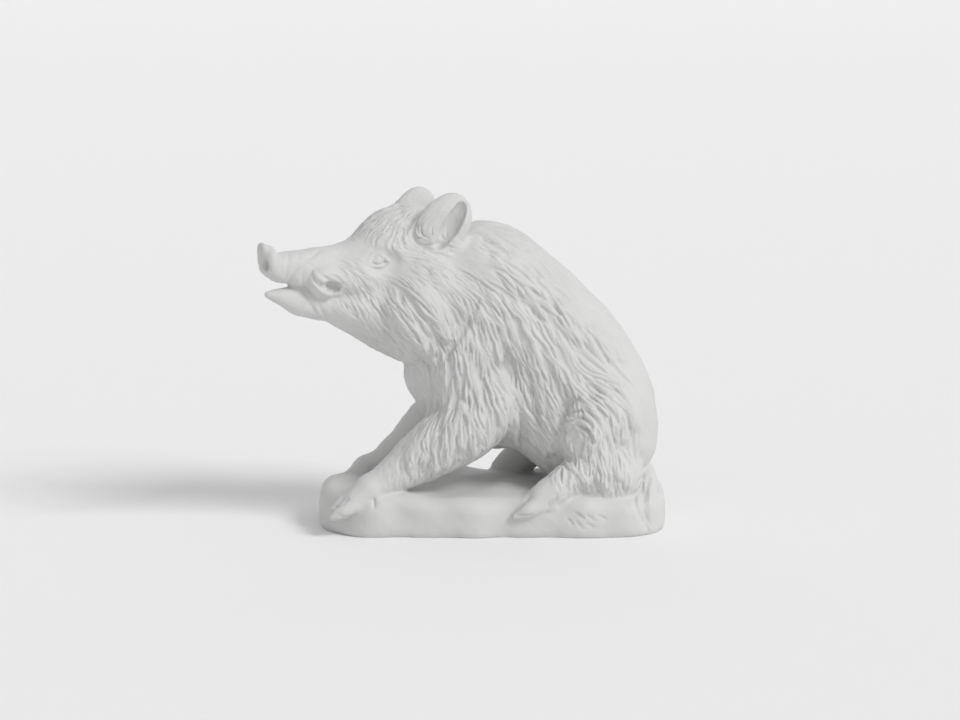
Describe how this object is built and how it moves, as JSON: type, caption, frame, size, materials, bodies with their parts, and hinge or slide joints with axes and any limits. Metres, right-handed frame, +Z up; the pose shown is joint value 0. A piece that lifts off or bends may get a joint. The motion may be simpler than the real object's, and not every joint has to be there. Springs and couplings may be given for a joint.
{
  "type": "porcelain boar figurine",
  "caption": "Seated wild boar figurine in white unglazed porcelain, head raised and turned to its left, on a low rounded ground slab.",
  "frame": {"origin": "a point on the flat underside of the ground slab, halfway along the figurine and across the slab", "axes": "+X towards the boar's rump, so its head faces -X; -Y out of the boar's left side, which the picture shows; +Z up"},
  "size_m": [0.1849, 0.0851, 0.1551],
  "materials": {
    "bisque": "white unglazed porcelain, matte, fine-grained"
  },
  "bodies": {
    "root": {"boar_on_plinth": "bisque"}
  },
  "joints": []
}
